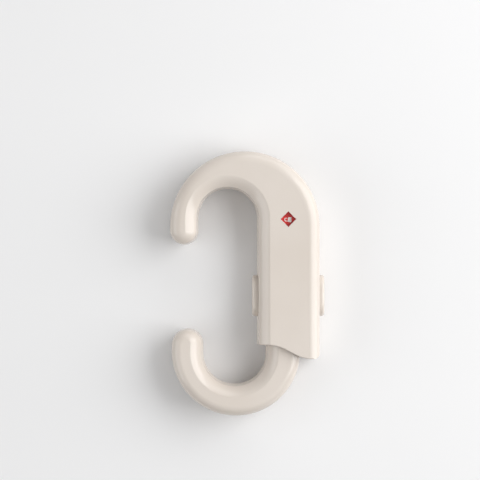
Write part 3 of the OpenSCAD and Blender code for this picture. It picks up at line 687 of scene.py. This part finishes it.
# Screws
# Zinc-plated pan-head screws with cross recesses, driven from the back into the front halves' bosses.
# Their heads lie sunk below the back faces, and no two are turned alike.
cover_screw_tip_z, slider_screw_tip_z = 16.6, 13.9


def pan_screws(name, places, tip_z):
    head_r, head_h, shank_r, point_len = 1.9, 1.3, 1, 1
    crown_r, dome_r, dome_rise, rim_rise = 1.1, 1.6, 0.18, 0.6
    slot_len, slot_w, slot_depth, slot_taper = 1.05, 0.26, 0.75, 0.55
    first_turn, next_turn = 0.3, 0.7
    middle = (0, 0, 0)
    low_z = recess_depth - head_h
    section = [(0, low_z), (crown_r, low_z), (dome_r, low_z + dome_rise), (head_r, low_z + rim_rise),
               (head_r, recess_depth), (shank_r, recess_depth), (shank_r, tip_z - point_len), (0, tip_z)]
    screw = bmesh.new()
    points = [screw.verts.new((r, 0, z)) for r, z in section]
    chain = [screw.edges.new(pair) for pair in zip(points, points[1:])]
    bmesh.ops.spin(screw, geom=points + chain, cent=middle, axis=(0, 0, 1), angle=2 * math.pi, steps=36,
                   use_merge=True)
    bmesh.ops.remove_doubles(screw, verts=screw.verts, dist=same_place)
    bmesh.ops.recalc_face_normals(screw, faces=screw.faces)
    body = solid(name, screw)
    for angle in (0, math.pi / 2):
        bit = block(((-slot_len, slot_len), (-slot_w, slot_w), (low_z - slot_depth, low_z + slot_depth)))
        deep = [v for v in bit.verts if v.co.z > low_z]
        bmesh.ops.scale(bit, verts=deep, vec=(slot_taper, slot_taper, 1))
        bmesh.ops.rotate(bit, verts=bit.verts, cent=middle, matrix=Matrix.Rotation(angle, 3, "Z"))
        cut_away(body, [bit])
    row = bmesh.new()
    for i, (x, y) in enumerate(places):
        turned = Matrix.Rotation(next_turn * i + first_turn, 4, "Z")
        placed = body.data.copy()
        placed.transform(Matrix.Translation((x, y, 0)) @ turned)
        row.from_mesh(placed)
        bpy.data.meshes.remove(placed)
    row.to_mesh(body.data)
    row.free()
    return body


cover_screws = pan_screws("cover_screw_set", cover_screw_places, cover_screw_tip_z)
settle(cover_screws, steel, "housing", "steel", "cover_screws")
slider_screws = pan_screws("slider_screw_set", slider_screw_places, slider_screw_tip_z)
settle(slider_screws, steel, "slider", "steel", "slider_screws")


# Floor
# A plain sheet of matt white paper that the lock lies on, wide enough for every view.
# From here on sizes are in metres.
floor_size, floor_drop = 3.0, 0.0002
sheet = bmesh.new()
bmesh.ops.create_grid(sheet, x_segments=1, y_segments=1, size=floor_size / 2)
bmesh.ops.translate(sheet, verts=sheet.verts, vec=(0, 0, -floor_drop))
floor = solid("floor", sheet)
paper = bpy.data.materials.new("white_paper")
paper.use_nodes = True
paper_nodes = paper.node_tree.nodes
paper_shader = paper_nodes["Principled BSDF"]
paper_shader.inputs["Roughness"].default_value = 0.9
paper_shader.inputs["Specular IOR Level"].default_value = 0.1
paper_place = paper_nodes.new("ShaderNodeTexCoord")
paper_grain = paper_nodes.new("ShaderNodeTexNoise")
paper_grain.inputs["Scale"].default_value = 6
paper_tone = paper_nodes.new("ShaderNodeValToRGB")
paper_tone.color_ramp.elements[0].color = (0.85, 0.85, 0.855, 1)
paper_tone.color_ramp.elements[1].color = (0.88, 0.88, 0.885, 1)
paper_link = paper.node_tree.links.new
paper_link(paper_place.outputs["Object"], paper_grain.inputs["Vector"])
paper_link(paper_grain.outputs["Fac"], paper_tone.inputs["Fac"])
paper_link(paper_tone.outputs["Color"], paper_shader.inputs["Base Color"])
floor.data.materials.append(paper)


# Light
# A large soft box on the right gives the white streaks on every surface that faces that way.
# Weak panels overhead, beyond the arch and on the left, and a pale world, fill the rest evenly.
lock_middle = Vector((0, 0, 0.01))


def soft_box(name, place, size, watts):
    light = bpy.data.lights.new(name, "AREA")
    light.shape = "RECTANGLE"
    light.size, light.size_y = size
    light.energy = watts
    lamp = bpy.data.objects.new(name, light)
    lamp.location = place
    aim = lock_middle - Vector(place)
    lamp.rotation_euler = aim.to_track_quat("-Z", "Y").to_euler()
    bpy.context.scene.collection.objects.link(lamp)


soft_box("right_box", place=(0.75, 0.14, 0.56), size=(0.9, 1.0), watts=9.6)
soft_box("ceiling_panel", place=(0.1, -0.6, 1.3), size=(1.5, 1.3), watts=3.1)
soft_box("far_panel", place=(0.4, 0.85, 0.5), size=(0.9, 0.7), watts=2.6)
soft_box("left_panel", place=(-0.8, -0.1, 0.45), size=(0.9, 0.6), watts=3)

world = bpy.data.worlds.new("pale_room")
bpy.context.scene.world = world
world.use_nodes = True
room_light = world.node_tree.nodes["Background"]
room_light.inputs["Color"].default_value = (1.0, 0.995, 0.985, 1)
room_light.inputs["Strength"].default_value = 0.2


# Camera
# The lock is seen straight from the front through a long lens.
# The frame is placed by the scale of the photograph and by the pixel that holds the lock's middle.
image_pixels = 480
metres_per_pixel = 0.00041
lock_middle_pixel = (247.44, 283.75)
camera_height = 1.2
sensor_width = 36

picture_width = image_pixels * metres_per_pixel
view_x = (image_pixels / 2 - lock_middle_pixel[0]) * metres_per_pixel
view_y = (lock_middle_pixel[1] - image_pixels / 2) * metres_per_pixel
camera_data = bpy.data.cameras.new("front_camera")
camera_data.sensor_width = sensor_width
camera_data.lens = sensor_width * (camera_height - cad_box[1][2]) / picture_width
camera_data.clip_end = 10
camera = bpy.data.objects.new("front_camera", camera_data)
camera.location = (view_x, view_y, camera_height)
bpy.context.scene.collection.objects.link(camera)
bpy.context.scene.camera = camera
bpy.context.scene.view_settings.view_transform = "Standard"
